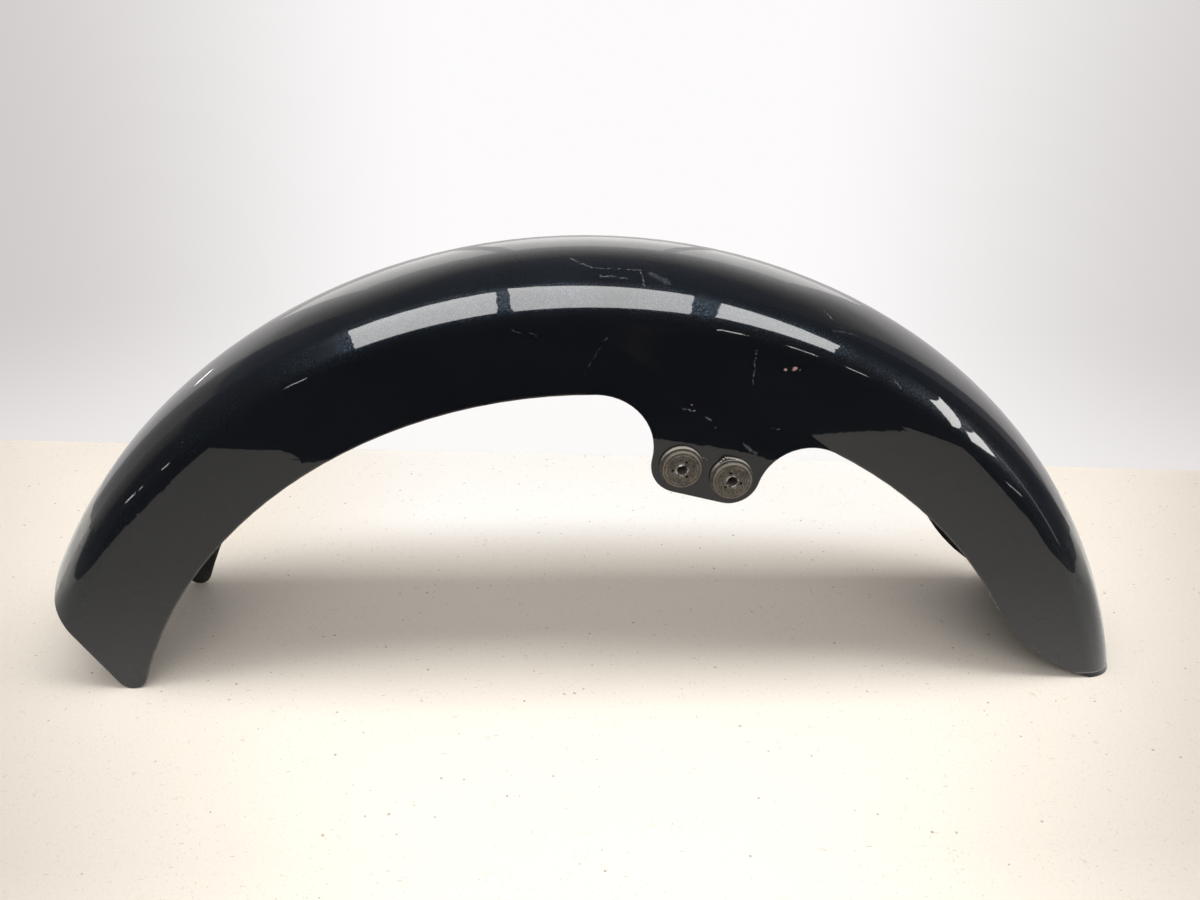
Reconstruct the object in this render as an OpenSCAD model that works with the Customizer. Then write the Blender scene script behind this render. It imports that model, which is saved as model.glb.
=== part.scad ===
// Front mudguard of a motorcycle: one pressed steel blade with flat skirts and a
// fixing tab on each side, and in each tab two rubber bushes with steel sleeves.
// X points forward, Y to the left of the motorcycle and Z up. The guard stands on its
// two rear toes and on its front lip, and the origin is the middle of its footprint.

/* [Blade] */
// Outer radius of the crown, about the wheel axle
crown_r = 355; // [330:1:380]
// Width across the outside of the skirts
blade_w = 112; // [100:1:130]
// Thickness of the steel sheet
sheet_t = 1.6; // [1.2:0.1:2.4]
// Radius of the crown in its cross section
section_r = 95; // [85:1:120]
// Radius of the shoulder between crown and skirt
shoulder_r = 20; // [14:1:26]
// Height at which the axle would lie below the surface that the guard stands on
axle_drop = 100; // [85:1:115]

/* [Skirt edges] */
// How far the skirt edge behind the tab has a smaller radius than the crown
rear_skirt_h = 78; // [70:1:86]
// How far the centre of that edge lies above the axle
rear_edge_rise = 10; // [6:1:14]
// How far the skirt edge ahead of the tab lies inside the crown
front_skirt_h = 70; // [63:1:77]
// Radius that rounds the skirt's lower front corner
lip_round_r = 140; // [120:1:160]
// Length of the skirt's front end where it meets the standing surface
lip_w = 29.6; // [24.6:0.5:34.6]

/* [Rear end] */
// Slope of the rear cut, from the horizontal
rear_cut_angle = 60; // [54:1:66]
// Radius of the rounded toe
toe_r = 8.5; // [5:0.5:12]

/* [Fixing tabs] */
// How far the bush centres lie inside the skirt edge ahead of the tab
bush_inset = 34.5; // [31:0.5:38]
// Angle of the middle of each tab above the forward direction
tab_angle = 76.2; // [72:0.2:80]
// Distance between the two bushes of a tab
bush_pitch = 28.5; // [26:0.5:34]
// Radius of the tab's corners about the bushes
lobe_r = 16; // [14.5:0.5:18.5]
// Hollow radius where the tab runs into the skirt, behind
rear_fillet_r = 31.5; // [26:0.5:36]
// Hollow radius where the tab runs into the skirt, ahead
front_fillet_r = 28; // [23:0.5:33]
// Diameter of the hole in the sheet for a bush
seat_d = 16; // [14:0.5:18]

/* [Rubber bushes] */
// Diameter of the flange that lies on the sheet
flange_d = 23.4; // [21:0.2:26]
// Diameter of the raised face of the bush
face_d = 21.2; // [19:0.2:24]
// How far a bush stands out from the skirt
stand_out = 5; // [4:0.1:7]
// Thickness of the flange that lies on the sheet
flange_t = 2.6; // [2:0.1:3.5]
// Depth of the groove between flange and face
face_groove = 0.9; // [0.5:0.1:1.5]
// Width of that groove
face_groove_w = 0.6; // [0.4:0.1:1]
// Bevel around the face
face_bevel = 0.5; // [0.2:0.1:0.9]
// Thickness of the flange inside the skirt
inner_flange_t = 3.4; // [2.5:0.1:5]
// Diameter of the moulding pin holes
pin_d = 1.5; // [1:0.1:1.8]
// Depth of the moulding pin holes
pin_depth = 2.5; // [1:0.1:3.5]
// Distance of the pin holes from the middle of a bush
pin_orbit = 4.9; // [4.7:0.1:7]

/* [Sleeves] */
// Bore of the steel sleeve, for the fixing screw
sleeve_bore = 5.6; // [4.8:0.1:6.2]
// Outer diameter of the steel sleeve
sleeve_d = 7; // [6.6:0.1:7.6]
// Clearance around a neck in its hole and around a sleeve in its bush
seat_gap = 0.1; // [0.05:0.05:0.2]

/* [Hidden] */
$fn = 128;
// How far a cutting shape runs past what it cuts
over = 4;
// A round is drawn this much larger, so that it crosses the lines that it blends into
seam = 0.002;
half_w = blade_w / 2;

// Points on the side view are [forward, up] from the axle.
function polar(r, a) = r * [cos(a), sin(a)];
function unit(v) = v / norm(v);
function left_of(v) = [-v[1], v[0]];
// Where two circles cross: side 1 is to the left of the way from the first to the second
function crossing(c1, r1, c2, r2, side) =
  let (
    d = norm(c2 - c1),
    along = (d * d + r1 * r1 - r2 * r2) / (2 * d),
    across = sqrt(r1 * r1 - along * along),
    way = unit(c2 - c1)
  )
  c1 + along * way + side * across * left_of(way);

// From a round's centre to the sharp corner that it replaces, for a radius of 1
function corner_reach(from, to) = (from + to) / (1 + from * to);

axle = [0, 0];
ground = axle_drop;

// Skirt edges: one arc behind the tab and one ahead of it
rear_edge_c = [0, rear_edge_rise];
rear_edge_r = crown_r - rear_skirt_h;
front_edge_r = crown_r - front_skirt_h;

// Bush centres and the tab that surrounds them
bush_orbit_r = front_edge_r - bush_inset;
bush_half_angle = asin(bush_pitch / 2 / bush_orbit_r);
bush_rear = polar(bush_orbit_r, tab_angle + bush_half_angle);
bush_front = polar(bush_orbit_r, tab_angle - bush_half_angle);
tab_down = -polar(1, tab_angle);
rear_fillet_c = crossing(
  rear_edge_c, rear_edge_r - rear_fillet_r, bush_rear, rear_fillet_r + lobe_r, 1);
front_fillet_c = crossing(
  axle, front_edge_r - front_fillet_r, bush_front, front_fillet_r + lobe_r, -1);

// Rear toe: a small round that just reaches the ground
toe_c = let (up = ground + toe_r + seam, reach = rear_edge_r + toe_r)
  [-sqrt(reach * reach - pow(up - rear_edge_rise, 2)), up];
cut_up = polar(1, 180 - rear_cut_angle);
cut_out = left_of(cut_up);
rear_corner = let (off = (toe_c + toe_r * cut_out) * cut_out)
  off * cut_out + sqrt(crown_r * crown_r - off * off) * cut_up;

// Front lip: a large round that leaves the skirt edge and comes down to the ground
front_corner = [sqrt(crown_r * crown_r - ground * ground), ground];
lip_heel = [front_corner[0] - lip_w, ground];
lip_c = crossing(axle, front_edge_r + lip_round_r, lip_heel, lip_round_r, 1);

mid_x = (front_corner[0] + rear_corner[0]) / 2;

// Arc of the revolved blade, a little longer at both ends than the finished one
front_angle = atan2(front_corner[1], front_corner[0]) - 4;
rear_angle = atan2(toe_c[1], toe_c[0]) + 4;

// Cross section of the blade, [distance from the axle, across]
section_c = crown_r - section_r;
shoulder_y = half_w - shoulder_r;
shoulder_c = section_c + sqrt(pow(section_r - shoulder_r, 2) - shoulder_y * shoulder_y);
shoulder_angle = atan2(shoulder_y, shoulder_c - section_c);
skirt_depth_r = bush_orbit_r - lobe_r - over;

// Bushes, measured from the outside of the skirt outwards
bush_bore = sleeve_d + 2 * seat_gap;
neck_d = seat_d - 2 * seat_gap;
inner_end = -sheet_t - inner_flange_t;
pin_count = 3;
// How far each bush happens to be turned in its hole
turn_right_rear = 65;
turn_right_front = 106;
turn_left_rear = 20;
turn_left_front = 82;

// Cross section grown inwards by the given depth, filled
module section_fill(depth) {
  translate([skirt_depth_r - (depth > 0 ? over : 0), -half_w + depth])
    square([shoulder_c - skirt_depth_r + (depth > 0 ? over : 0), 2 * (half_w - depth)]);
  for (side = [-1, 1])
    translate([shoulder_c, side * shoulder_y])
      circle(r = shoulder_r - depth + seam);
  intersection() {
    translate([section_c, 0])
      circle(r = section_r - depth);
    translate([section_c, 0])
      polygon([
        [0, 0],
        polar(2 * section_r, -shoulder_angle),
        polar(2 * section_r, shoulder_angle)
      ]);
  }
}

module blade_section() {
  difference() {
    section_fill(0);
    section_fill(sheet_t);
  }
}

// The pressed blade before its outline is trimmed, turned about the axle
module revolved_blade() {
  rotate([90, 0, 0])
    rotate([0, 0, front_angle])
      rotate_extrude(angle = rear_angle - front_angle)
        blade_section();
}

// What a round of the given centre and radius takes off a corner, between two directions
module corner_waste(centre, r, from, to) {
  difference() {
    polygon([
      centre, centre + r * from, centre + 3 * r * unit(from + to), centre + r * to
    ]);
    translate(centre)
      circle(r = r + seam);
  }
}

// Tab with hollow fillets into the skirt edges and round lower corners
module tab_outline() {
  to_rear_fillet = unit(rear_fillet_c - bush_rear);
  to_front_fillet = unit(front_fillet_c - bush_front);
  difference() {
    polygon([
      polar((front_edge_r + shoulder_c) / 2, tab_angle),
      rear_edge_c + (rear_edge_r + over) * unit(rear_fillet_c - rear_edge_c),
      rear_fillet_c,
      bush_rear + lobe_r * to_rear_fillet,
      bush_rear + lobe_r * corner_reach(to_rear_fillet, tab_down),
      bush_front + lobe_r * corner_reach(to_front_fillet, tab_down),
      bush_front + lobe_r * to_front_fillet,
      front_fillet_c,
      (front_edge_r + over) * unit(front_fillet_c)
    ]);
    translate(rear_fillet_c)
      circle(r = rear_fillet_r + seam);
    translate(front_fillet_c)
      circle(r = front_fillet_r + seam);
    corner_waste(bush_rear, lobe_r, to_rear_fillet, tab_down);
    corner_waste(bush_front, lobe_r, to_front_fillet, tab_down);
  }
}

// Space inside the skirt edges, as one round behind the tab and one ahead of it
module wheel_space() {
  split_x = polar(bush_orbit_r, tab_angle)[0];
  intersection() {
    translate(rear_edge_c)
      circle(r = rear_edge_r);
    translate([split_x + over - 2 * crown_r, -crown_r])
      square([2 * crown_r, 2 * crown_r]);
  }
  intersection() {
    circle(r = front_edge_r);
    translate([split_x - over, -crown_r])
      square([2 * crown_r, 2 * crown_r]);
  }
}

// All that lies behind the rear cut, with the corner that the toe's round takes off
module rear_trim() {
  reach = crown_r - rear_edge_r + 3 * toe_r;
  on_cut = toe_c + toe_r * cut_out;
  polygon([
    on_cut - reach * cut_up,
    on_cut + 2 * reach * cut_up,
    on_cut + 2 * reach * (cut_up + cut_out),
    on_cut + reach * (2 * cut_out - cut_up)
  ]);
  corner_waste(toe_c, toe_r, cut_out, unit(rear_edge_c - toe_c));
}

// All that lies below the ground ahead, with the corner that the lip's round takes off
module front_trim() {
  leaves_edge = front_edge_r * unit(lip_c);
  translate([leaves_edge[0], ground - crown_r])
    square([crown_r, crown_r]);
  difference() {
    polygon([
      leaves_edge, lip_c, [lip_c[0], ground - over], [leaves_edge[0] - over, ground - over]
    ]);
    translate(lip_c)
      circle(r = lip_round_r + seam);
  }
}

// The whole side view, with the holes for the bushes
module side_outline() {
  difference() {
    circle(r = crown_r + over);
    difference() {
      wheel_space();
      tab_outline();
    }
    rear_trim();
    front_trim();
    for (centre = [bush_rear, bush_front])
      translate(centre)
        circle(d = seat_d);
  }
}

module fender_shell() {
  color([0.03, 0.035, 0.045])
    translate([-mid_x, 0, -ground])
      intersection() {
        revolved_blade();
        rotate([90, 0, 0])
          linear_extrude(height = blade_w + 2 * over, center = true)
            side_outline();
      }
}

// Puts a piece on a bush centre, its axis pointing out of the skirt: side -1 is the right
module on_skirt(centre, side) {
  translate([centre[0] - mid_x, side * half_w, centre[1] - ground])
    rotate([-90 * side, 0, 0])
      children();
}

module bush(centre, side, turn) {
  bore_r = bush_bore / 2;
  flange_r = flange_d / 2;
  face_r = face_d / 2;
  groove_r = face_r - face_groove;
  face_start = flange_t + face_groove_w;
  color([0.30, 0.28, 0.25])
    on_skirt(centre, side)
      difference() {
        rotate_extrude()
          polygon([
            [bore_r, inner_end],
            [flange_r - face_bevel, inner_end],
            [flange_r, inner_end + face_bevel],
            [flange_r, -sheet_t],
            [neck_d / 2, -sheet_t],
            [neck_d / 2, 0],
            [flange_r, 0],
            [flange_r, flange_t - face_bevel / 2],
            [flange_r - face_bevel / 2, flange_t],
            [groove_r, flange_t],
            [groove_r, face_start],
            [face_r, face_start],
            [face_r, stand_out - face_bevel],
            [face_r - face_bevel, stand_out],
            [bore_r, stand_out]
          ]);
        for (pin = [0 : pin_count - 1])
          rotate([0, 0, turn + pin * 360 / pin_count])
            translate([pin_orbit, 0, stand_out - pin_depth])
              cylinder(d = pin_d, h = pin_depth + over);
      }
}

module sleeve(centre, side) {
  color([0.72, 0.72, 0.70])
    on_skirt(centre, side)
      translate([0, 0, inner_end])
        difference() {
          cylinder(d = sleeve_d, h = stand_out - inner_end);
          translate([0, 0, -over])
            cylinder(d = sleeve_bore, h = stand_out - inner_end + 2 * over);
        }
}

fender_shell();
bush(bush_rear, -1, turn_right_rear);  // bush_right_rear
bush(bush_front, -1, turn_right_front);  // bush_right_front
bush(bush_rear, 1, turn_left_rear);  // bush_left_rear
bush(bush_front, 1, turn_left_front);  // bush_left_front
sleeve(bush_rear, -1);  // sleeve_right_rear
sleeve(bush_front, -1);  // sleeve_right_front
sleeve(bush_rear, 1);  // sleeve_left_rear
sleeve(bush_front, 1);  // sleeve_left_front
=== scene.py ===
import math

import bpy
from mathutils import Matrix, Vector


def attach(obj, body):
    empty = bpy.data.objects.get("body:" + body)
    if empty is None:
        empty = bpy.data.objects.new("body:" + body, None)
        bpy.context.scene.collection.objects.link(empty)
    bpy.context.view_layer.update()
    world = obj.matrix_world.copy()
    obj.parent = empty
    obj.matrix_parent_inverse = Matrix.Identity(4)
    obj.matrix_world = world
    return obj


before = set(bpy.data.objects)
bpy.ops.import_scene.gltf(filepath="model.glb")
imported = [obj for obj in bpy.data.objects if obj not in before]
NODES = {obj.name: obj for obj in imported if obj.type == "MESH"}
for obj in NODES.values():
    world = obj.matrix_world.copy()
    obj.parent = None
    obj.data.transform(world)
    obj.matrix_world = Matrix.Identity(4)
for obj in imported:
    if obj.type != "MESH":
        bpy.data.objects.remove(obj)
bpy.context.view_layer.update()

# Camera, as solved from the photograph: where it stands, how it looks down, to the side
# and how far it is rolled (radians), and its lens on a 36 mm wide sensor
CAMERA_AT = Vector((-0.0379, -0.4864, 0.3592))
LOOK_DOWN = 0.441
LOOK_ASIDE = 0.0601
ROLL = 0.0282
LENS_MM = 27.0
SENSOR_MM = 36.0

# The table that the guard stands on. Its back edge: y at x = 0, and how y changes with x.
# Its front edge: y. Its side edges, as the paint mirrors them: how far out each line is (x)
# at one depth (y), and how fast it runs outwards behind there
TABLE_BACK = 0.2627
TABLE_BACK_SLOPE = -0.0535
TABLE_FRONT = -0.39
TABLE_LEFT = [(0.36, -0.30, 2.2)]
TABLE_RIGHT = [(0.355, -0.22, 5.5), (0.78, -0.13, 0.9)]
FLOOR_REACH = 3.0

# Linear colours of the room. The wall that the camera sees has a middle, its sides and what
# is low down
WALL = (0.93, 0.90, 0.90)
WALL_SEEN = ((0.98, 0.965, 0.965), (0.62, 0.59, 0.585))
WALL_SEEN_LOW = (0.97, 0.945, 0.94)
TABLE = (0.89, 0.83, 0.755)
# Painted light: the paler colour of the table behind the guard
TABLE_PAINTED_BRIGHT = (0.98, 0.965, 0.945)
# The tint of the table as the paint mirrors it
TABLE_MIRRORED = (0.93, 0.985, 1.05)
PANEL = (1.0, 0.985, 0.96)
AMBIENT = (1.0, 0.955, 0.90)
DARK_ROOM = (0.060, 0.075, 0.105)
DARK_ROOM_WARM = (0.105, 0.095, 0.10)
DARK_CEILING = (0.085, 0.10, 0.13)
SMOKE = (0.19, 0.17, 0.17)

# Painted light on the table, in its colour. It falls off to the front corners, where the
# distance aside less a share of the distance back passes these values. In front of the guard,
# about one x, it falls off as painted shade. It rises again far aside. Each fade is given as
# (none at, full at), in metres
CORNER_FADE = (0.57, 0.22)
CORNER_FALL = 0.45
CORNER_SLANT = 0.9
CORNER_FRONT = -0.18
FRONT_FADE_Y = (-0.22, -0.30)
FRONT_X = 0.07
FRONT_FADE_X = (0.14, 0.09)
FRONT_FALL = 0.24
ASIDE_FADE = (0.54, 0.70)
ASIDE_RISE = 0.40
# Where the table behind the guard is painted at its brightest, as painted light
BEHIND_FADE_Y = (0.07, 0.15)
BEHIND_X = 0.05
BEHIND_FADE_X = (0.34, 0.16)

# Dark specks on the table: scale, size, stretch, strength and colour. A share of the cells
# of each pattern holds one. The hairs: strength and colour
TABLE_FLECKS = [(420, 0.20, (1.6, 1, 1), 0.45, (0.42, 0.36, 0.30)),
                (170, 0.12, (1, 1, 1), 0.60, (0.22, 0.17, 0.13)),
                (75, 0.10, (1, 5, 1), 0.50, (0.36, 0.30, 0.25))]
FLECKED_CELLS = 0.20
HAIRS = (0.28, (0.36, 0.30, 0.25))

# Linear colours of the paint, deep and pale, and of what lies on it or shows through
PAINT = ((0.0024, 0.0028, 0.0036), (0.0036, 0.0041, 0.0052))
# Dust inside the guard, also the colour of the painted highlight along the skirts' edges
DUST_AND_EDGE_HIGHLIGHT = (0.060, 0.052, 0.043)
SPECK = (0.30, 0.30, 0.30)
SCRATCH = (0.34, 0.36, 0.40)
PRIMER = (0.42, 0.26, 0.25)
# Painted highlight: the light rim line along the front lip
RIM_HIGHLIGHT = (0.16, 0.155, 0.145)
# How strongly the colour coat mirrors, by colour: not at all outside, where only the clear
# coat does, more in the polishing haze, and evenly on the dull inside
NO_TINT = (0.0, 0.0, 0.0)
HAZE_TINT = (0.37, 0.52, 0.71)
INSIDE_TINT = (0.5, 0.5, 0.5)
COAT_ROUGHNESS = 0.018
COAT_IOR = 1.48
# How much the paint's edges are rounded, and how high its slow waves are
EDGE_ROUNDING = 0.0007
WAVE_HEIGHT = 0.00015

# Linear colours of the rubber and the steel, dark and light, and of the dirt on them
RUBBER = ((0.012, 0.011, 0.009), (0.040, 0.035, 0.029))
RUBBER_DUST = (0.40, 0.35, 0.28)
# Painted highlight: the colour of the light rims on a bush's face
RUBBER_RIM_HIGHLIGHT = (0.30, 0.26, 0.21)
# Settled dust and painted light: the paler colour of the rubber faces that look up
SETTLED_DUST_AND_TOP_LIGHT = (0.44, 0.42, 0.38)
# Painted shade: the near-black colour inside the bushes' pin holes
PIN_HOLE_SHADE = (0.004, 0.0035, 0.003)
PLATE = ((0.040, 0.036, 0.030), (0.50, 0.48, 0.45))
# Painted shade: the dark, rust-brown colour inside the sleeves' bores
BORE_SHADE = ((0.010, 0.007, 0.006), (0.060, 0.034, 0.022))

# The pale wall behind, as directions: its side edges x / y, and how bright it is by height
WALL_LEFT = 1.12
WALL_RIGHT = 1.45
WALL_BY_HEIGHT = [(0.0, 0.64), (0.30, 0.68), (0.38, 0.95), (0.47, 0.87), (0.61, 0.42),
                  (0.69, 0.20), (0.75, 0.0)]
# How soft its side edges are, how much it darkens at its sides and how bright the room is
# beyond its left edge
WALL_EDGE_SOFT = 0.04
WALL_SIDE_FALL = 0.55
WALL_LOW_LEFT = 0.22
AMBIENT_STRENGTH = 0.39
# The wall as the camera sees it: where its middle is and where it ends, and between which
# heights and how far its low colour takes over
SEEN_MIDDLE_X = 0.07
SEEN_MIDDLE_TO_SIDE = (0.17, 0.62)
SEEN_LOW_FADE = (-0.24, -0.42)
SEEN_LOW_SHARE = 0.62

# Soft lamps: where each is, what it points at, its width, depth and power
LAMPS = {
    "lamp_top": ((0.02, -0.13, 1.15), (0.02, 0.0, 0.1), 1.3, 0.40, 12.0),
    "lamp_fill": ((0.0, -1.2, 1.0), (0.0, 0.0, 0.1), 1.6, 0.8, 8),
}

# Light panels overhead that the shoulder mirrors, seen by gloss only: outline and strength
PANEL_Z = 1.30
PANELS = {
    "panel_left": ([(-1.03, -0.03), (-0.34, 0.05), (-0.34, -0.31), (-0.36, -0.69),
                    (-0.39, -1.20), (-0.47, -2.09), (-1.65, -2.76), (-1.28, -1.53),
                    (-1.12, -0.89), (-1.05, -0.44)], 10),
    "panel_middle": ([(-0.29, 0.12), (0.40, -0.12), (0.41, -0.44), (0.44, -0.82),
                      (0.51, -1.32), (0.65, -2.23), (-0.38, -2.23), (-0.32, -1.18),
                      (-0.29, -0.62), (-0.28, -0.21)], 9.5),
    "panel_right": ([(0.52, -0.30), (1.34, -0.94), (1.42, -1.22), (1.53, -1.58),
                     (1.72, -2.06), (2.01, -2.77), (0.76, -1.95), (0.64, -1.30),
                     (0.57, -0.89), (0.54, -0.57)], 11),
}

# What else the paint mirrors of the room, seen by gloss only too: a window, three pale
# frames on the wall (left and right edge), a row of small lights (left and right end), one
# more light on the wall, the edge of a door and a glint low down
WINDOW_PANES = {
    "pane_upper": [(1.78, -1.97, 0.06), (2.23, -1.45, 0.63),
                   (2.38, -0.66, 1.22), (2.10, -1.52, 0.85)],
    "pane_lower": [(1.88, -1.88, 0.02), (2.24, -1.50, 0.23),
                   (2.38, -1.18, 0.68), (2.08, -1.68, 0.36)],
}
WINDOW_STRENGTH = 13
WALL_Y = 2.0
WALL_FRAMES = [(-1.30, -0.44), (-0.35, 0.45), (0.52, 1.25)]
WALL_FRAME_Z = (0.40, 1.34)
WALL_FRAME_STRENGTH = 1.30
LED_Y = -2.4
LED_Z = (0.06, 0.11)
LED_ROW = [(-4.90, -4.20), (-3.85, -3.70), (-2.95, -2.80), (-1.34, -1.21), (0.47, 0.685),
           (0.895, 0.95), (0.975, 1.055), (1.24, 1.38)]
LED_STRENGTH = 14
SINGLE_CARDS = {
    "led_wall": ([(-2.07, WALL_Y, 0.34), (-1.88, WALL_Y, 0.36),
                  (-1.88, WALL_Y, 0.40), (-2.07, WALL_Y, 0.38)], 8),
    "door_edge": ([(0.610, -0.290, 0.004), (0.632, -0.277, 0.004),
                   (0.632, -0.277, 0.300), (0.610, -0.290, 0.300)], 1.1),
    "low_glint": ([(0.418, -0.323, 0.036), (0.4655, -0.298, 0.051),
                   (0.4655, -0.298, 0.057), (0.418, -0.323, 0.044)], 5),
}

# The wheel axle in the row frame, and the shoulder and crown of the blade's cross section:
# centre from the axle, distance from the middle plane and radius
AXLE = (-0.01409, -0.100)
CROWN = (0.260, 0.0, 0.095)
SHOULDER = (0.3258, 0.036, 0.020)
SKIRT_Y = 0.056
SHEET = 0.0016

# The skirt edges behind and ahead of the tabs: radius, how far the rear one's centre lies
# above the axle, where each ends at the tabs, and the half width of the painted highlight
# line on them
REAR_EDGE_R = 0.277
REAR_EDGE_RISE = 0.010
REAR_EDGE_END = -0.020
FRONT_EDGE_R = 0.285
FRONT_EDGE_START = 0.116
EDGE_HIGHLIGHT_WIDTH = 0.0011
# The front lip has a painted highlight, a light rim line this high above the table, from
# here forward, and painted shade under it
LIP_FROM = 0.27
LIP_RIM_Z = 0.0038
LIP_RIM_FADE = (0.0006, 0.0002)
LIP_UNDER_FADE = 0.001

# Bushes: their centres on the side view, how far they stand out, how thick their flange is,
# where their pin holes end and the radius of the sleeve's bore
BUSHES = [(0.03173, 0.14627), (0.05941, 0.13948)]
BUSH_OUT = 0.005
BUSH_FLANGE = 0.0027
PIN_REACH = 0.0062
SLEEVE_BORE_R = 0.0028
# How far from a bush's front face its rims, the pin hole's floor and the bore's wall are told
# apart, and how far outside the bore's radius its wall still counts as bore
FACE_MARGIN = 0.0006
PIN_MARGIN = 0.0002
BORE_END_MARGIN = 0.0003
BORE_WALL_MARGIN = 0.0001
# Painted highlights on a bush's face, light rims where its steps catch the light: radius
# and half width. The first is whole, the others broken
FACE_RIM_HIGHLIGHTS = [(0.0101, 0.00035), (0.0085, 0.0003), (0.0042, 0.0003)]

# Moulding flash on the front right bush: how far it reaches from the bush axis, step by
# step, from which angle (degrees above forward) and how far apart the steps are, where it
# starts on the flange and how far off the skirt its two faces lie
FLASH_REACH = [0.0119, 0.0122, 0.0121, 0.0126, 0.0124, 0.0131, 0.0128, 0.0136, 0.0127, 0.0132,
               0.0121, 0.0124, 0.0118]
FLASH_FROM = 84
FLASH_STEP = 3.6
FLASH_ROOT = 0.0114
FLASH_OFF = (0.0006, 0.0024)

# How much the skirt leans out of its plane, as a slope, along the side view. The slopes are
# kept in a colour band, which holds values from 0 to 1, so they are shifted and scaled
SKIRT_LEAN = [(-0.33, 0.0), (-0.225, 0.007), (-0.19, 0.026), (-0.14, 0.0), (0.0, 0.0),
              (0.020, 0.0040), (0.030, 0.0057), (0.040, 0.0071), (0.048, 0.0079),
              (0.054, 0.0081), (0.058, 0.0079), (0.064, 0.0068), (0.099, -0.029),
              (0.139, -0.0365), (0.156, -0.041), (0.19, -0.012), (0.24, 0.0)]
LEAN_SHIFT = 0.05
LEAN_SCALE = 10
# The lean runs aslant: along the side view it is read at x plus this share of the height
# over one level, and below the tab level it stays the same
LEAN_ASLANT = 1.4
LEAN_LEVEL = 0.165
LEAN_TAB_LEVEL = 0.150
LEAN_EASE = 0.01

# Distance from the axle at which the polishing haze starts, and where it is full
HAZE_FROM = (0.322, 0.335)
# Pale specks of dust on the paint: scale, size and the chance value above which a cell has one
DUST_SPECKS = (210, 0.07, 0.93)

# Scratches and scuffs: from, to (mm), half width (mm) and strength
SCRATCHES = [
    ((-28.4, -26.8, 250.8), (-17.4, -35.7, 248.0), 0.8, 0.45),
    ((-16.4, -35.7, 248.0), (7.0, -35.8, 247.3), 0.35, 0.55),
    ((-13.6, -41.4, 245.4), (0.5, -42.1, 244.7), 0.9, 0.30),
    ((6.9, -37.3, 246.6), (9.3, -46.6, 241.9), 0.40, 0.50),
    ((13.0, -38.5, 246.0), (20.0, -43.0, 243.0), 2.6, 0.11),
    ((-9.6, -56.0, 218.7), (-14.4, -56.0, 210.3), 0.30, 0.30),
    ((-14.4, -56.0, 210.3), (-21.3, -56.0, 199.5), 0.35, 0.20),
    ((65.9, -56.0, 212.1), (66.7, -56.0, 193.6), 0.55, 0.30),
    ((105.5, -36.3, 226.5), (107.9, -40.6, 223.6), 0.45, 0.45),
    ((104.0, -44.0, 222.0), (114.0, -43.0, 219.5), 0.40, 0.35),
    ((107.6, -46.9, 220.1), (121.7, -44.1, 216.1), 0.45, 0.30),
    ((141.8, -54.1, 195.6), (144.3, -55.0, 191.5), 0.50, 0.55),
    ((30.1, -56.0, 180.0), (37.6, -56.0, 177.8), 0.50, 0.45),
    ((43.1, -56.0, 175.5), (46.4, -56.0, 173.3), 0.45, 0.50),
    ((78.8, -56.0, 168.8), (83.2, -56.0, 167.7), 0.35, 0.45),
    ((65.0, -56.0, 159.0), (72.0, -56.0, 153.5), 1.2, 0.26),
    ((42.0, -56.0, 151.0), (46.0, -56.0, 149.6), 0.40, 0.50),
    ((-57.4, -56.0, 221.4), (-53.0, -56.0, 220.0), 0.35, 0.25),
    ((-49.0, -56.0, 219.6), (-44.5, -56.0, 218.4), 0.35, 0.25),
]
# How scratches and chips are made ragged: scale of the disturbance and its reach
RAGGED = [(160, 0.0032), (800, 0.0024)]
# Chips down to the primer: middle and radius (mm)
CHIPS = [((82.0, -56.0, 201.3), 1.1), ((86.6, -56.0, 202.6), 1.4), ((90.0, -56.0, 201.2), 0.8),
         ((48.9, -56.0, 168.7), 0.55), ((-67.0, -56.0, 219.0), 0.5), ((35.0, -56.0, 181.5), 0.5)]


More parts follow.
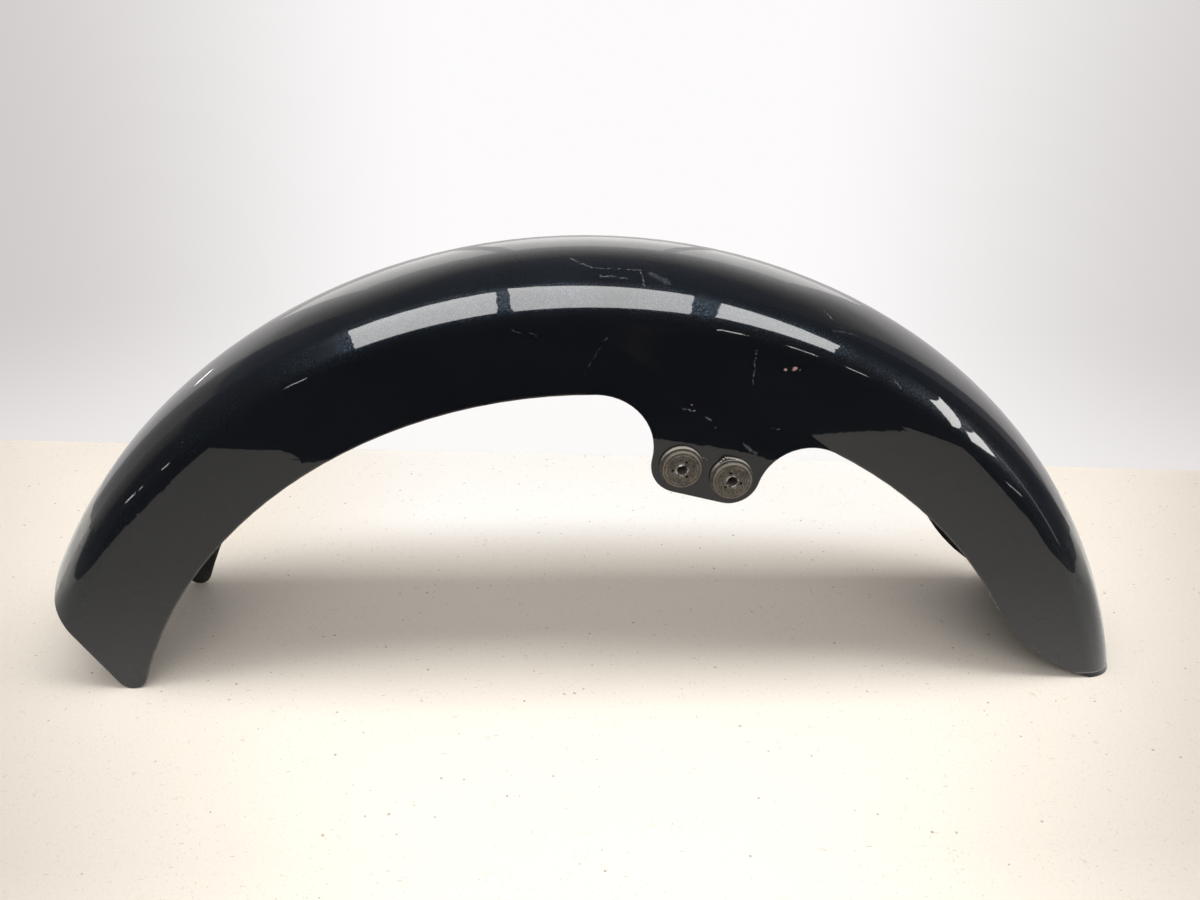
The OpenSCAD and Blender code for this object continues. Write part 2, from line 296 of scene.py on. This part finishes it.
class Mat:
    """The nodes of a material or of the world, with a few short-cuts."""

    def __init__(self, owner, output="OutputMaterial"):
        owner.use_nodes = True
        self.owner = owner
        self.tree = owner.node_tree
        self.tree.nodes.clear()
        self.out = self.node(output)

    def node(self, kind, **values):
        made = self.tree.nodes.new("ShaderNode" + kind)
        for key, value in values.items():
            setattr(made, key, value)
        return made

    def link(self, a, b):
        self.tree.links.new(a, b)

    def put(self, socket, value):
        if hasattr(value, "links"):
            self.link(value, socket)
        else:
            socket.default_value = value

    def position(self):
        return self.node("TexCoord").outputs["Object"]

    def axis(self, which):
        split = self.node("SeparateXYZ")
        self.link(self.position(), split.inputs[0])
        return split.outputs[which]

    def math(self, operation, *values, clamp=False):
        made = self.node("Math", operation=operation, use_clamp=clamp)
        for socket, value in zip(made.inputs, values):
            self.put(socket, value)
        return made.outputs[0]

    def add(self, a, b):
        return self.math("ADD", a, b)

    def less(self, a, b):
        return self.math("SUBTRACT", a, b)

    def times(self, *values):
        product = values[0]
        for value in values[1:]:
            product = self.math("MULTIPLY", product, value)
        return product

    def size(self, value):
        return self.math("ABSOLUTE", value)

    def most(self, values):
        best = values[0]
        for value in values[1:]:
            best = self.math("MAXIMUM", best, value)
        return best

    def root_of_squares(self, a, b):
        return self.math("SQRT", self.add(self.times(a, a), self.times(b, b)))

    def noise(self, scale, detail=2.0, rough=0.5, at=None):
        made = self.node("TexNoise")
        self.link(at or self.position(), made.inputs["Vector"])
        made.inputs["Scale"].default_value = scale
        made.inputs["Detail"].default_value = detail
        made.inputs["Roughness"].default_value = rough
        return made.outputs["Fac"]

    def noise_vector(self, scale):
        """A different chance value in each of three channels."""
        made = self.node("TexNoise")
        self.link(self.position(), made.inputs["Vector"])
        made.inputs["Scale"].default_value = scale
        return made.outputs["Color"]

    def ramp(self, value, stops, smooth=False):
        made = self.node("ValToRGB")
        band = made.color_ramp
        if smooth:
            band.interpolation = "EASE"
        while len(band.elements) < len(stops):
            band.elements.new(0.5)
        for element, (at, shade) in zip(band.elements, stops):
            element.position = at
            element.color = (*shade, 1) if isinstance(shade, tuple) else (shade,) * 3 + (1,)
        self.link(value, made.inputs[0])
        return made.outputs[0]

    def stretch(self, factors, turn=(0, 0, 0)):
        made = self.node("Mapping")
        self.link(self.position(), made.inputs["Vector"])
        made.inputs["Scale"].default_value = factors
        made.inputs["Rotation"].default_value = turn
        return made.outputs[0]

    def mix(self, share, first, second, mode="MIX"):
        made = self.node("Mix", data_type="RGBA", blend_type=mode)
        self.put(made.inputs[0], share)
        for socket, value in ((made.inputs[6], first), (made.inputs[7], second)):
            self.put(socket, (*value, 1) if isinstance(value, tuple) else value)
        return made.outputs[2]

    def mix_shader(self, share, first, second):
        made = self.node("MixShader")
        self.put(made.inputs[0], share)
        self.link(first, made.inputs[1])
        self.link(second, made.inputs[2])
        return made.outputs[0]

    def vector(self, operation, *values, scale=None):
        made = self.node("VectorMath", operation=operation)
        for socket, value in zip(made.inputs, values):
            self.put(socket, value)
        if scale is not None:
            self.put(made.inputs["Scale"], scale)
        single = operation in ("DOT_PRODUCT", "DISTANCE")
        return made.outputs["Value" if single else "Vector"]

    def fade(self, value, zero_at, one_at):
        made = self.node("MapRange", interpolation_type="SMOOTHSTEP")
        self.put(made.inputs[0], value)
        made.inputs[1].default_value = zero_at
        made.inputs[2].default_value = one_at
        return made.outputs[0]

    def cells(self, scale, at=None):
        """Distance to the nearest of many scattered points, and two chance values for each."""
        made = self.node("TexVoronoi")
        self.link(at or self.position(), made.inputs["Vector"])
        made.inputs["Scale"].default_value = scale
        chance = self.node("SeparateColor")
        self.link(made.outputs["Color"], chance.inputs[0])
        return made.outputs["Distance"], chance.outputs[0], chance.outputs[1]

    def streak(self, at, start, end, half_width):
        """1 along a line between two points given in millimetres, fading out across it."""
        a, b = Vector(start) / 1000, Vector(end) / 1000
        way = b - a
        from_a = self.vector("SUBTRACT", at, tuple(a))
        share = self.math("MULTIPLY", 1.0, self.vector(
            "DOT_PRODUCT", from_a, tuple(way / way.length_squared)), clamp=True)
        foot = self.vector("SCALE", tuple(way), scale=share)
        away = self.vector("DISTANCE", from_a, foot)
        return self.fade(away, half_width / 1000, half_width / 4000)

    def ring(self, radius, at, half_width):
        """1 where the radius is at one value, fading out to both sides."""
        return self.fade(self.size(self.less(radius, at)), half_width, half_width / 3)

    def bump(self, height, strength, distance, under=None):
        made = self.node("Bump")
        made.inputs["Strength"].default_value = strength
        made.inputs["Distance"].default_value = distance
        self.link(height, made.inputs["Height"])
        if under:
            self.link(under, made.inputs["Normal"])
        return made.outputs[0]

    def principled(self, colour, roughness, specular, normal=None):
        made = self.node("BsdfPrincipled")
        self.link(colour, made.inputs["Base Color"])
        self.put(made.inputs["Roughness"], roughness)
        made.inputs["Specular IOR Level"].default_value = specular
        if normal:
            self.link(normal, made.inputs["Normal"])
        return made


def flecks(m, scale, size, stretch):
    """Sparse dark specks: only a chance share of the cells has one, each of its own size."""
    near, chance, bulk = m.cells(scale, at=m.stretch(stretch))
    reach = m.times(m.add(bulk, 0.3), size)
    spot = m.fade(m.less(near, reach), 0.02, -0.02)
    return m.times(spot, m.math("GREATER_THAN", chance, 1 - FLECKED_CELLS))


def layered(m, colour, layers):
    """A colour with others laid over it: the mask of each, its strength and its colour."""
    for mask, strength, shade in layers:
        colour = m.mix(m.times(mask, strength), colour, shade)
    return colour


def table_painted_light(m):
    """Painted light on the table: its colour falls off to the front corners and, as painted
    shade, in front of the guard. Far aside, where only the paint's mirror image shows it, the
    table is painted bright again."""
    x, y = m.axis(0), m.axis(1)
    aside = m.size(x)
    corner = m.less(aside, m.times(m.math("MAXIMUM", y, CORNER_FRONT), CORNER_SLANT))
    light = m.add(m.times(m.fade(corner, *CORNER_FADE), CORNER_FALL), 1 - CORNER_FALL)
    in_front = m.times(m.fade(y, *FRONT_FADE_Y),
                       m.fade(m.size(m.less(x, FRONT_X)), *FRONT_FADE_X))
    light = m.less(light, m.times(in_front, FRONT_FALL))
    return m.add(light, m.times(m.fade(aside, *ASIDE_FADE), ASIDE_RISE))


def table_hairs(m):
    """Fine hairs: where a noise crosses its middle value, in patches set by another noise."""
    off_line = m.size(m.less(m.noise(150, 1, 0.5), 0.5))
    some = m.noise(170, 2, 0.7, at=m.stretch((1, 1, 1), turn=(0.4, 0.7, 1.1)))
    return m.times(m.fade(off_line, 0.022, 0.006), m.fade(some, 0.60, 0.66))


def table_colour(m):
    """A warm white top with a fine grain, painted brighter behind the guard as painted light,
    and what lies on it.
    """
    cloud = m.ramp(m.noise(5, 3), [(0.3, TABLE), (0.75, tuple(c * 1.03 for c in TABLE))])
    behind = m.times(m.fade(m.axis(1), *BEHIND_FADE_Y),
                     m.fade(m.size(m.less(m.axis(0), BEHIND_X)), *BEHIND_FADE_X))
    top = m.mix(1.0, m.mix(behind, cloud, TABLE_PAINTED_BRIGHT), table_painted_light(m), mode="MULTIPLY")
    grain = m.ramp(m.noise(650, 3, 0.8), [(0.36, 0.92), (0.46, 1.0)])
    colour = m.mix(1.0, top, grain, mode="MULTIPLY")
    marks = [(flecks(m, scale, size, stretch), strength, shade)
             for scale, size, stretch, strength, shade in TABLE_FLECKS]
    return layered(m, colour, marks + [(table_hairs(m), *HAIRS)])


def on_table(m):
    """1 between the table's front and side edges."""
    x, y = m.axis(0), m.axis(1)
    inside = [m.math("GREATER_THAN", y, TABLE_FRONT)]
    for side, lines in ((-1, TABLE_LEFT), (1, TABLE_RIGHT)):
        for edge, turn, slope in lines:
            behind_turn = m.math("MAXIMUM", m.less(y, turn), 0.0)
            limit = m.add(m.times(behind_turn, slope), edge)
            inside.append(m.math("LESS_THAN", m.times(x, side), limit))
    return m.times(*inside)


def table_material():
    """The table. Past its front and side edges the paint mirrors a dark room instead."""
    m = Mat(bpy.data.materials.new("table"))
    glossy = m.node("LightPath").outputs["Is Glossy Ray"]
    colour = table_colour(m)
    mirrored = m.mix(1.0, colour, TABLE_MIRRORED, mode="MULTIPLY")
    table = m.principled(m.mix(glossy, colour, mirrored), roughness=0.55, specular=0.25)
    darker = tuple(0.7 * c for c in DARK_ROOM)
    smoky = m.ramp(m.noise(2.6, 3, 0.6), [(0.35, darker), (0.55, DARK_ROOM), (0.70, SMOKE)])
    room = m.node("Emission")
    m.link(smoky, room.inputs["Color"])
    hidden = m.times(m.less(1.0, on_table(m)), glossy)
    m.link(m.mix_shader(hidden, table.outputs[0], room.outputs[0]), m.out.inputs[0])
    return m.owner


def add_object(name, data):
    made = bpy.data.objects.new(name, data)
    bpy.context.scene.collection.objects.link(made)
    return made


def build_floor():
    corners = [(-FLOOR_REACH, -FLOOR_REACH, 0.0), (FLOOR_REACH, -FLOOR_REACH, 0.0)]
    corners += [(x, TABLE_BACK + TABLE_BACK_SLOPE * x, 0.0) for x in (FLOOR_REACH, -FLOOR_REACH)]
    mesh = bpy.data.meshes.new("floor")
    mesh.from_pydata(corners, [], [(0, 1, 2, 3)])
    mesh.materials.append(table_material())
    floor = add_object("floor", mesh)


def background(m, colour, strength=1.0):
    made = m.node("Background")
    made.inputs["Strength"].default_value = strength
    m.put(made.inputs["Color"], (*colour, 1) if isinstance(colour, tuple) else colour)
    return made.outputs[0]


def wall_light(m, x, y, z):
    """How bright the pale wall behind is. It fades out upwards, sooner at its sides, and has
    two side edges. Low down on the left the room stays a little bright beyond it."""
    at_sides = m.times(m.fade(m.size(x), 0.38, 0.62), m.fade(z, 0.26, 0.40))
    by_height = m.times(m.ramp(z, WALL_BY_HEIGHT), m.less(1.0, m.times(at_sides, WALL_SIDE_FALL)))
    past_left = m.fade(m.add(m.times(y, WALL_LEFT), x), WALL_EDGE_SOFT, -WALL_EDGE_SOFT)
    past_right = m.fade(m.less(x, m.times(y, WALL_RIGHT)), -WALL_EDGE_SOFT, WALL_EDGE_SOFT)
    low_left = m.times(past_left, m.fade(z, 0.38, 0.30), WALL_LOW_LEFT)
    between = m.times(m.less(1.0, past_left), m.less(1.0, past_right))
    behind = m.fade(y, -0.2, 0.0)
    return m.times(m.add(m.times(by_height, between), low_left), behind)


def room_for_gloss(m, place, x, y, z):
    """The pale wall behind the guard, and a dark room above and ahead."""
    things = m.ramp(m.noise(2.6, 3, 0.5, at=place), [(0.42, DARK_ROOM), (0.62, DARK_ROOM_WARM)])
    dark = m.mix(m.fade(z, 0.1, 0.8), things, DARK_CEILING)
    lit = m.vector("SCALE", WALL, scale=wall_light(m, x, y, z))
    return m.vector("MAXIMUM", lit, dark)


def wall_for_camera(m, x, z):
    """A white wall, brightest in the middle and low down."""
    from_middle = m.size(m.less(x, SEEN_MIDDLE_X))
    seen = m.ramp(from_middle, list(zip(SEEN_MIDDLE_TO_SIDE, WALL_SEEN)), smooth=True)
    low_down = m.times(m.fade(z, *SEEN_LOW_FADE), SEEN_LOW_SHARE)
    return m.mix(low_down, seen, WALL_SEEN_LOW)


def build_world():
    """The camera, gloss and all other light each see a room of their own."""
    world = bpy.data.worlds.new("room")
    bpy.context.scene.world = world
    m = Mat(world, "OutputWorld")
    path = m.node("LightPath")
    place = m.node("TexCoord").outputs["Generated"]
    way = m.node("SeparateXYZ")
    m.link(place, way.inputs[0])
    x, y, z = way.outputs
    shiny = m.math("MAXIMUM", path.outputs["Is Glossy Ray"], path.outputs["Is Transmission Ray"])
    for_light = m.mix_shader(shiny, background(m, AMBIENT, AMBIENT_STRENGTH),
                             background(m, room_for_gloss(m, place, x, y, z)))
    seen = m.mix_shader(path.outputs["Is Camera Ray"], for_light,
                        background(m, wall_for_camera(m, x, z)))
    m.link(seen, m.out.inputs[0])


def lamp(name, place, target, width, depth, power):
    """A soft lamp that lights but is not mirrored."""
    data = bpy.data.lights.new(name, "AREA")
    data.shape = "RECTANGLE"
    data.size, data.size_y = width, depth
    data.energy = power
    data.color = PANEL
    made = add_object(name, data)
    made.location = place
    made.rotation_euler = (Vector(target) - Vector(place)).to_track_quat("-Z", "Y").to_euler()
    made.visible_camera = False
    made.visible_glossy = False


def card(name, corners, strength):
    """A light panel that only gloss sees."""
    mesh = bpy.data.meshes.new(name)
    mesh.from_pydata(corners, [], [tuple(range(len(corners)))])
    m = Mat(bpy.data.materials.new(name))
    glow = m.node("Emission")
    glow.inputs["Color"].default_value = (*PANEL, 1)
    glow.inputs["Strength"].default_value = strength
    m.link(glow.outputs[0], m.out.inputs[0])
    mesh.materials.append(m.owner)
    made = add_object(name, mesh)
    made.visible_camera = False
    made.visible_diffuse = False
    made.visible_shadow = False


def upright_card(name, x_range, y, z_range, strength):
    (x0, x1), (low, high) = x_range, z_range
    card(name, [(x0, y, low), (x1, y, low), (x1, y, high), (x0, y, high)], strength)


def build_lights():
    for name, settings in LAMPS.items():
        lamp(name, *settings)
    for name, (outline, strength) in PANELS.items():
        card(name, [(x, y, PANEL_Z) for x, y in outline], strength)
    for name, corners in WINDOW_PANES.items():
        card(name, corners, WINDOW_STRENGTH)
    for number, ends in enumerate(WALL_FRAMES):
        upright_card(f"wall_frame_{number}", ends, WALL_Y, WALL_FRAME_Z, WALL_FRAME_STRENGTH)
    for number, ends in enumerate(LED_ROW):
        upright_card(f"led_{number}", ends, LED_Y, LED_Z, LED_STRENGTH)
    for name, (corners, strength) in SINGLE_CARDS.items():
        card(name, corners, strength)


def radius_about(m, x, z):
    """Distance on the side view from one point."""
    return m.root_of_squares(m.less(m.axis(0), x), m.less(m.axis(2), z))


def inside_mask(m, radius):
    """1 on the faces that look at the wheel."""
    off = m.size(m.axis(1))

    def within(arc):
        centre, aside, r = arc
        reach = m.root_of_squares(m.less(radius, centre), m.less(off, aside))
        return m.math("LESS_THAN", reach, r - SHEET / 2)

    in_crown = m.times(within(CROWN), m.math("LESS_THAN", off, SHOULDER[1] * 1.25))
    below = m.math("LESS_THAN", radius, SHOULDER[0])
    under_arc = m.most([in_crown, within(SHOULDER), below])
    return m.times(under_arc, m.math("LESS_THAN", off, SKIRT_Y - SHEET / 2))


def skirt_lean(m, radius):
    """Height field that leans the skirts a little, as pressed sheet does."""
    height = m.math("MAXIMUM", m.axis(2), LEAN_TAB_LEVEL)
    along = m.add(m.axis(0), m.times(m.less(height, LEAN_LEVEL), LEAN_ASLANT))
    low, high = SKIRT_LEAN[0][0], SKIRT_LEAN[-1][0]
    kept = m.ramp(m.math("DIVIDE", m.less(along, low), high - low),
                  [((at - low) / (high - low), (lean + LEAN_SHIFT) * LEAN_SCALE)
                   for at, lean in SKIRT_LEAN])
    lean = m.times(m.less(kept, LEAN_SHIFT * LEAN_SCALE), 1 / LEAN_SCALE)
    down = m.math("MAXIMUM", m.less(SHOULDER[0], radius), 0.0)
    eased = m.math("DIVIDE", m.times(down, down), m.add(down, LEAN_EASE))
    return m.times(lean, eased)


def polish_haze(m, radius):
    """Fine swirls left by polishing: they scatter the lamps into a bluish haze."""
    swirl = m.fade(m.noise(1300, 3, 0.8), 0.38, 0.72)
    patches = m.fade(m.noise(22, 3, 0.6), 0.30, 0.70)
    return m.times(swirl, m.add(m.times(patches, 0.6), 0.4), m.fade(radius, *HAZE_FROM))


def scratches_and_chips(m):
    """Masks of the broken scratch lines and of the chips, both with ragged edges."""
    ragged = m.position()
    for scale, reach in RAGGED:
        shift = m.vector("SUBTRACT", m.noise_vector(scale), (0.5, 0.5, 0.5))
        ragged = m.vector("ADD", ragged, m.vector("SCALE", shift, scale=reach))
    lines = m.most([m.times(m.streak(ragged, a, b, width), strength)
                    for a, b, width, strength in SCRATCHES])
    broken = m.fade(m.noise(900, 3, 0.8), 0.42, 0.58)
    scratches = m.times(lines, m.add(m.times(broken, 0.85), 0.15))
    chips = m.most([m.fade(m.vector("DISTANCE", ragged, tuple(Vector(at) / 1000)),
                           r / 1000, r / 1600) for at, r in CHIPS])
    return scratches, chips


def dust_specks(m):
    scale, size, sparse = DUST_SPECKS
    near, chance, bulk = m.cells(scale)
    spot = m.fade(m.less(near, m.times(bulk, size)), 0.01, -0.01)
    return m.times(spot, m.math("GREATER_THAN", chance, sparse))


def painted_edge_highlight(m, radius):
    """Painted highlight: a thin pale line along the skirts' inner edges, behind and ahead of
    the tabs, where the rounded sheet edge catches the light.
    """
    rear_radius = radius_about(m, AXLE[0], AXLE[1] + REAR_EDGE_RISE)
    behind = m.times(m.ring(rear_radius, REAR_EDGE_R, EDGE_HIGHLIGHT_WIDTH),
                     m.math("LESS_THAN", m.axis(0), REAR_EDGE_END))
    ahead = m.times(m.ring(radius, FRONT_EDGE_R, EDGE_HIGHLIGHT_WIDTH),
                    m.math("GREATER_THAN", m.axis(0), FRONT_EDGE_START))
    return m.times(m.add(behind, ahead), m.fade(m.noise(300, 3, 0.7), 0.25, 0.55))


def painted_lip_highlight(m):
    """Painted highlight: the front lip's light rim line, where the bent sheet catches the
    light. Also the band under it, painted shade, where the clear coat is thinned.
    """
    up, ahead = m.axis(2), m.math("GREATER_THAN", m.axis(0), LIP_FROM)
    rim_highlight = m.times(ahead, m.fade(m.size(m.less(up, LIP_RIM_Z)), *LIP_RIM_FADE))
    return rim_highlight, m.times(ahead, m.fade(up, LIP_RIM_Z, LIP_RIM_Z - LIP_UNDER_FADE))


def paint_relief(m, radius, scratches, chips):
    """Normals for the clear coat and for the colour coat below it."""
    height = m.add(skirt_lean(m, radius), m.times(m.noise(8, 1, 0.4), WAVE_HEIGHT))
    rounded = m.node("Bevel", samples=4)
    rounded.inputs["Radius"].default_value = EDGE_ROUNDING
    shape = m.bump(height, strength=1.0, distance=1.0, under=rounded.outputs[0])
    peel = m.bump(m.noise(260, 2, 0.5), strength=0.010, distance=0.0006, under=shape)
    worn = m.bump(m.add(scratches, chips), strength=0.4, distance=-0.0002, under=peel)
    return peel, worn


def paint_material():
    """Gloss black under a clear coat outside, worn and dusty inside."""
    m = Mat(NODES["fender_shell"].data.materials[0])
    radius = radius_about(m, *AXLE)
    inside = inside_mask(m, radius)
    scratches, chips = scratches_and_chips(m)
    # The lip gets a painted highlight, and painted shade under it
    rim_highlight, painted_shade_under_rim = painted_lip_highlight(m)
    dust = m.times(m.fade(m.noise(60, 4, 0.7), 0.35, 0.75), inside)

    black = m.ramp(m.noise(9, 3), [(0.3, PAINT[0]), (0.7, PAINT[1])])
    # Over the black: dust, specks, scratches, chips, and painted highlights on edges and lip
    colour = layered(m, black, [(dust, 0.75, DUST_AND_EDGE_HIGHLIGHT), (dust_specks(m), 0.5, SPECK),
                                (scratches, 1.0, SCRATCH), (chips, 0.8, PRIMER),
                                (painted_edge_highlight(m, radius), 0.8, DUST_AND_EDGE_HIGHLIGHT), (rim_highlight, 0.7, RIM_HIGHLIGHT)])

    coat_normal, normal = paint_relief(m, radius, scratches, chips)
    roughness = m.add(m.add(0.20, m.times(m.noise(40, 3), 0.16)), m.times(inside, 0.25))
    shader = m.principled(colour, roughness, specular=0.65, normal=normal)
    tint = m.mix(polish_haze(m, radius), NO_TINT, HAZE_TINT)
    m.link(m.mix(inside, tint, INSIDE_TINT), shader.inputs["Specular Tint"])
    # Painted shade: the clear coat is thinned under the lip's rim line, so it renders darker
    clear = m.times(m.less(1.0, m.times(inside, 0.75)), m.less(1.0, m.times(painted_shade_under_rim, 0.7)))
    m.link(clear, shader.inputs["Coat Weight"])
    m.link(coat_normal, shader.inputs["Coat Normal"])
    shader.inputs["Coat Roughness"].default_value = COAT_ROUGHNESS
    shader.inputs["Coat IOR"].default_value = COAT_IOR
    m.link(shader.outputs[0], m.out.inputs[0])


def bush_radius(m):
    """Distance from the axis of the nearer bush, the same on both sides of the guard."""
    flat = m.stretch((1, 0, 1))
    return m.math("MINIMUM", *[m.vector("DISTANCE", flat, (x, 0.0, z)) for x, z in BUSHES])


def rubber_colour(m):
    """Dusty rubber: speckled, with painted highlights as light rims on the face, settled dust
    and painted light on what looks up, and painted shade in the pin holes.
    """
    radius, off = bush_radius(m), m.size(m.axis(1))
    fine = m.fade(m.noise(2100, 4, 0.9), 0.48, 0.62)
    coarse = m.fade(m.noise(420, 3, 0.6), 0.35, 0.65)
    patches = m.fade(m.noise(150, 2, 0.6), 0.35, 0.65)
    low = m.fade(m.axis(2), 0.152, 0.136)
    body = m.mix(coarse, *RUBBER)
    share = m.add(m.times(m.add(low, patches), 0.20), 0.18)
    colour = m.mix(m.times(fine, share), body, RUBBER_DUST)

    on_face = m.math("GREATER_THAN", off, SKIRT_Y + BUSH_OUT - FACE_MARGIN)
    whole, *broken = [m.ring(radius, *rim_highlight) for rim_highlight in FACE_RIM_HIGHLIGHTS]
    rim_highlights = m.most([whole] + [m.times(rim_highlight, patches) for rim_highlight in broken])
    rim_highlights = m.times(rim_highlights, on_face, m.add(m.times(fine, 0.5), 0.35))
    colour = m.mix(rim_highlights, colour, RUBBER_RIM_HIGHLIGHT)

    # Faces that look up are painted paler: settled dust and painted light from above
    faces = m.node("SeparateXYZ")
    m.link(m.node("NewGeometry").outputs["Normal"], faces.inputs[0])
    dust_and_light_on_top = m.fade(faces.outputs[2], 0.15, 0.85)
    on_flange = m.math("LESS_THAN", off, SKIRT_Y + BUSH_FLANGE)
    amount = m.add(m.times(fine, 0.3), m.add(m.times(on_flange, 0.4), 0.12))
    colour = m.mix(m.times(dust_and_light_on_top, amount), colour, SETTLED_DUST_AND_TOP_LIGHT)

    # Painted shade: the pin holes are painted near black
    in_pin = m.times(m.math("LESS_THAN", off, SKIRT_Y + BUSH_OUT - PIN_MARGIN),
                     m.math("LESS_THAN", radius, PIN_REACH))
    return m.mix(in_pin, colour, PIN_HOLE_SHADE)


def rubber_material():
    m = Mat(NODES["bush_right_rear"].data.materials[0])
    rough = m.bump(m.noise(1300, 3, 0.7), strength=0.6, distance=0.0003)
    shader = m.principled(rubber_colour(m), roughness=0.85, specular=0.15, normal=rough)
    m.link(shader.outputs[0], m.out.inputs[0])


def steel_material():
    """A plated sleeve with dirt on it, and painted shade in its bore, dark and rust-brown."""
    m = Mat(NODES["sleeve_right_rear"].data.materials[0])
    off, bore_end = m.size(m.axis(1)), SKIRT_Y + BUSH_OUT - BORE_END_MARGIN
    in_bore = m.times(m.math("LESS_THAN", bush_radius(m), SLEEVE_BORE_R + BORE_WALL_MARGIN),
                      m.math("LESS_THAN", off, bore_end))
    plate = m.ramp(m.noise(330, 3, 0.7), [(0.40, PLATE[0]), (0.58, PLATE[1])])
    bore_shade = m.ramp(m.noise(900, 3, 0.7), [(0.35, BORE_SHADE[0]), (0.7, BORE_SHADE[1])])
    roughness = m.add(m.times(in_bore, 0.45), 0.40)
    dents = m.bump(m.noise(1100, 2, 0.6), strength=0.4, distance=0.0002)
    shader = m.principled(m.mix(in_bore, plate, bore_shade), roughness, specular=0.5, normal=dents)
    m.link(m.less(1.0, in_bore), shader.inputs["Metallic"])
    m.link(shader.outputs[0], m.out.inputs[0])


def moulding_flash():
    """A ragged fin of rubber left on the flange of the front right bush by its mould."""
    x0, z0 = BUSHES[1]
    low, high = (-(SKIRT_Y + off) for off in FLASH_OFF)
    points, faces = [], []
    for step, reach in enumerate(FLASH_REACH):
        turn = math.radians(FLASH_FROM + FLASH_STEP * step)
        for radius, y in ((FLASH_ROOT, low), (reach, low), (reach, high), (FLASH_ROOT, high)):
            points.append((x0 + radius * math.cos(turn), y, z0 + radius * math.sin(turn)))
    for step in range(len(FLASH_REACH) - 1):
        a, b = 4 * step, 4 * step + 4
        faces += [(a + i, a + (i + 1) % 4, b + (i + 1) % 4, b + i) for i in range(4)]
    last = 4 * len(FLASH_REACH) - 4
    faces += [(3, 2, 1, 0), (last, last + 1, last + 2, last + 3)]
    mesh = bpy.data.meshes.new("moulding_flash")
    mesh.from_pydata(points, [], faces)
    mesh.materials.append(NODES["bush_right_front"].data.materials[0])
    piece = add_object("moulding_flash", mesh)
    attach(piece, "root")


def build_camera():
    ahead = Vector((math.sin(LOOK_ASIDE) * math.cos(LOOK_DOWN),
                    math.cos(LOOK_ASIDE) * math.cos(LOOK_DOWN), -math.sin(LOOK_DOWN)))
    level = Vector((math.cos(LOOK_ASIDE), -math.sin(LOOK_ASIDE), 0))
    above = level.cross(ahead)
    right = math.cos(ROLL) * level + math.sin(ROLL) * above
    up = math.cos(ROLL) * above - math.sin(ROLL) * level
    data = bpy.data.cameras.new("camera")
    data.sensor_width = SENSOR_MM
    data.lens = LENS_MM
    data.clip_start = 0.01
    camera = add_object("camera", data)
    turn = Matrix((right, up, -ahead)).transposed().to_4x4()
    camera.matrix_world = Matrix.Translation(CAMERA_AT) @ turn
    bpy.context.scene.camera = camera


build_floor()
build_world()
build_lights()
paint_material()
rubber_material()
steel_material()
moulding_flash()
build_camera()
bpy.context.scene.view_settings.view_transform = "Standard"
